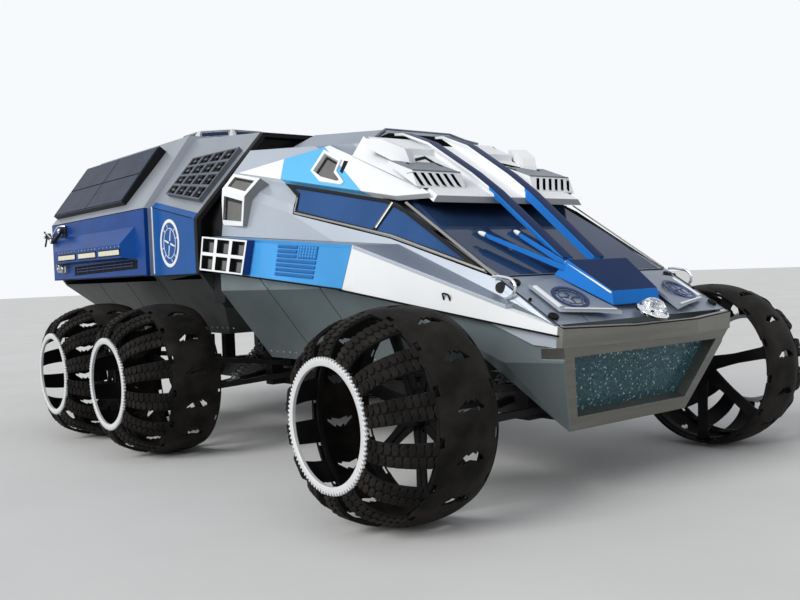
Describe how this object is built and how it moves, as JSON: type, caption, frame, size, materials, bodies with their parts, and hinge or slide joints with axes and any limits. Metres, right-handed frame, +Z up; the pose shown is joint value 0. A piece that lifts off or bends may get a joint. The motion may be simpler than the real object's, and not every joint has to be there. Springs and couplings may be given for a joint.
{
  "type": "planetary rover",
  "caption": "Planetary rover: a faceted glazed cockpit with gull-wing doors, a laboratory module with solar panels behind it, and open cage wheels.",
  "frame": {"origin": "on the ground, in the middle of the whole vehicle's outer box", "axes": "+X to the vehicle's left, -Y forward, +Z up; it stands on its wheels at Z = 0"},
  "size_m": [4.366, 7.388, 3.13],
  "materials": {
    "black_steel": "satin black suspension steel",
    "shock_metal": "worn steel with dark springs",
    "dark_grey": "matt dark grey",
    "silver_paint": "satin silver metallic paint",
    "lab_silver": "satin silver metallic paint, a shade darker",
    "nose_silver": "satin warm silver frame",
    "speckled_glass": "dark teal pane with a fine sparkle",
    "hull_grey": "satin grey-green metallic",
    "hull_dark": "satin dark grey-green metallic",
    "white_paint": "gloss white",
    "bright_blue": "gloss bright blue metallic",
    "deep_blue": "gloss deep blue metallic",
    "blue_glass": "dark glass that mirrors the sky",
    "dark_glass": "dark tinted glass",
    "chrome_tube": "polished tube",
    "clear_dome": "clear moulded dome",
    "seat_fabric": "dark woven seat cover",
    "satin_black": "satin black seal and frame",
    "solar_cell": "dark solar cells in a black frame",
    "grille_grey": "dark grey moulded grille",
    "lamp_lens": "pale lamp lens",
    "wheel_black": "matt black cage with rubber tread pads",
    "ring_white": "bright ring with fine teeth"
  },
  "bodies": {
    "body": {"chassis_frame": "black_steel", "body_posts": "black_steel", "spring_towers": "black_steel", "front_arms": "black_steel", "rear_arms": "black_steel", "shocks": "shock_metal", "battery_block": "dark_grey", "cab_shell": "silver_paint", "hood": "silver_paint", "nose_frame": "nose_silver", "nose_glass": "speckled_glass", "cockpit_hull": "hull_grey", "belt_left": "white_paint", "belt_right": "white_paint", "windshield": "dark_glass", "visor": "silver_paint", "port_frames": "white_paint", "quarter_bays": "white_paint", "tool_arm": "black_steel", "side_panels": "white_paint", "vent_boxes": "silver_paint", "twin_rails": "bright_blue", "nose_block": "bright_blue", "hood_brackets": "chrome_tube", "lamp_dome": "clear_dome", "window_boxes": "white_paint", "window_panes": "dark_glass", "seats": "seat_fabric", "helm_console": "dark_grey", "lab_shell": "lab_silver", "lab_hull": "hull_dark", "lab_sides": "deep_blue", "lab_frame": "satin_black", "solar_panels": "solar_cell", "roof_grilles": "grille_grey", "lamp_hoods": "deep_blue", "light_bars": "lamp_lens", "cupola": "lab_silver"},
    "door_left": {"door_left": "silver_paint", "door_glass_left": "blue_glass"},
    "door_right": {"door_right": "silver_paint", "door_glass_right": "blue_glass"},
    "lab_door": {"lab_door": "lab_silver"},
    "knuckle_left": {"knuckle_left": "black_steel"},
    "knuckle_right": {"knuckle_right": "black_steel"},
    "wheel_front_left": {"wheel_front_left": "wheel_black", "ring_front_left": "ring_white"},
    "wheel_mid_left": {"wheel_mid_left": "wheel_black", "ring_mid_left": "ring_white"},
    "wheel_rear_left": {"wheel_rear_left": "wheel_black", "ring_rear_left": "ring_white"},
    "wheel_front_right": {"wheel_front_right": "wheel_black", "ring_front_right": "ring_white"},
    "wheel_mid_right": {"wheel_mid_right": "wheel_black", "ring_mid_right": "ring_white"},
    "wheel_rear_right": {"wheel_rear_right": "wheel_black", "ring_rear_right": "ring_white"}
  },
  "joints": [
    {"name": "door_left_hinge", "type": "hinge", "parent": "body", "child": "door_left", "pos_m": [1.1309, -0.925, 2.25], "axis": [-0.1791, -0.9642, -0.1956], "range_deg": [0, 70]},
    {"name": "door_right_hinge", "type": "hinge", "parent": "body", "child": "door_right", "pos_m": [-1.1309, -0.925, 2.25], "axis": [-0.1791, 0.9642, 0.1956], "range_deg": [0, 70]},
    {"name": "lab_door_hinge", "type": "hinge", "parent": "body", "child": "lab_door", "pos_m": [-0.414, 3.572, 2.2], "axis": [0, 0, 1], "range_deg": [0, 110]},
    {"name": "steer_left", "type": "hinge", "parent": "body", "child": "knuckle_left", "pos_m": [1.33, -2.944, 0.655], "axis": [0, 0, 1], "range_deg": [-22, 22]},
    {"name": "steer_right", "type": "hinge", "parent": "body", "child": "knuckle_right", "pos_m": [-1.33, -2.944, 0.655], "axis": [0, 0, 1], "range_deg": [-22, 22]},
    {"name": "spin_front_left", "type": "hinge", "parent": "knuckle_left", "child": "wheel_front_left", "pos_m": [1.645, -2.944, 0.655], "axis": [1, 0, 0], "continuous": true},
    {"name": "spin_mid_left", "type": "hinge", "parent": "body", "child": "wheel_mid_left", "pos_m": [1.645, 0.367, 0.655], "axis": [1, 0, 0], "continuous": true},
    {"name": "spin_rear_left", "type": "hinge", "parent": "body", "child": "wheel_rear_left", "pos_m": [1.645, 1.758, 0.655], "axis": [1, 0, 0], "continuous": true},
    {"name": "spin_front_right", "type": "hinge", "parent": "knuckle_right", "child": "wheel_front_right", "pos_m": [-1.645, -2.944, 0.655], "axis": [1, 0, 0], "continuous": true},
    {"name": "spin_mid_right", "type": "hinge", "parent": "body", "child": "wheel_mid_right", "pos_m": [-1.645, 0.367, 0.655], "axis": [1, 0, 0], "continuous": true},
    {"name": "spin_rear_right", "type": "hinge", "parent": "body", "child": "wheel_rear_right", "pos_m": [-1.645, 1.758, 0.655], "axis": [1, 0, 0], "continuous": true}
  ],
  "couplings": [
    {"joint": "steer_right", "follows": "steer_left", "ratio": 1}
  ]
}
